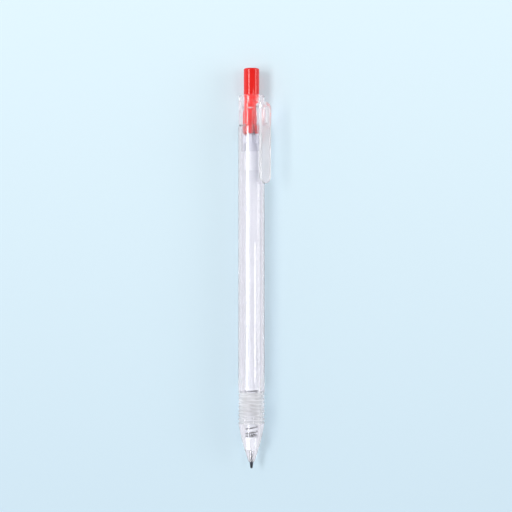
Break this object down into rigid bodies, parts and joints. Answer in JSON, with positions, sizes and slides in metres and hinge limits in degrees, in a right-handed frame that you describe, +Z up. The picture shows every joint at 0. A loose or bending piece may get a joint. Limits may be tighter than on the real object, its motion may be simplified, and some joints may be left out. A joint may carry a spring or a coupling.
{
  "type": "retractable click pen",
  "caption": "Slim clear push-button pen with red plunger, ribbed grip, pocket clip, spring and refill; clicking slides the tip in and out of the nose cone.",
  "frame": {"origin": "on the pen's axis at half its overall length, tip out", "axes": "+X along the pen towards the button, +Z up as the pen lies with its clip rolled 45 degrees to -Y"},
  "size_m": [0.142, 0.0116, 0.0116],
  "materials": {
    "clear_plastic": "polished clear polystyrene",
    "white_plastic": "satin",
    "red_plastic": "gloss",
    "refill_plastic": "milky",
    "spring_steel": "drawn wire",
    "bright_metal": "polished",
    "dark_metal": "dark satin",
    "ball_metal": "polished",
    "ink": "wet",
    "follower_grease": "wet"
  },
  "bodies": {
    "barrel": {"barrel": "clear_plastic", "nose_cone": "clear_plastic", "tip_guide": "white_plastic", "rear_cap": "clear_plastic", "spring": "spring_steel"},
    "clip": {"clip": "clear_plastic"},
    "button": {"push_button": "red_plastic"},
    "cartridge": {"cam_rotor": "white_plastic", "refill_tube": "refill_plastic", "tip_holder": "white_plastic", "tip_sleeve": "bright_metal", "tip_point": "dark_metal", "ink": "ink", "ink_follower": "follower_grease"},
    "ball": {"ball": "ball_metal"}
  },
  "joints": [
    {"name": "click", "type": "slide", "parent": "barrel", "child": "button", "axis": [1, 0, 0], "range_m": [-0.0012, 0.0043], "stiffness_N_per_m": 100},
    {"name": "refill_slide", "type": "slide", "parent": "barrel", "child": "cartridge", "axis": [1, 0, 0], "range_m": [-0.0012, 0.0043], "deforming": ["spring"]},
    {"name": "ball_roll", "type": "hinge", "parent": "cartridge", "child": "ball", "pos_m": [-0.07065, 0, 0], "axis": [0, 1, 0], "continuous": true},
    {"name": "clip_flex", "type": "hinge", "parent": "barrel", "child": "clip", "pos_m": [0.0588, -0.00329, 0.00329], "axis": [0, 0.7071, 0.7071], "range_deg": [0, 4], "stiffness_Nm_per_rad": 0.5}
  ],
  "couplings": [
    {"joint": "refill_slide", "follows": "click", "ratio": 1}
  ]
}
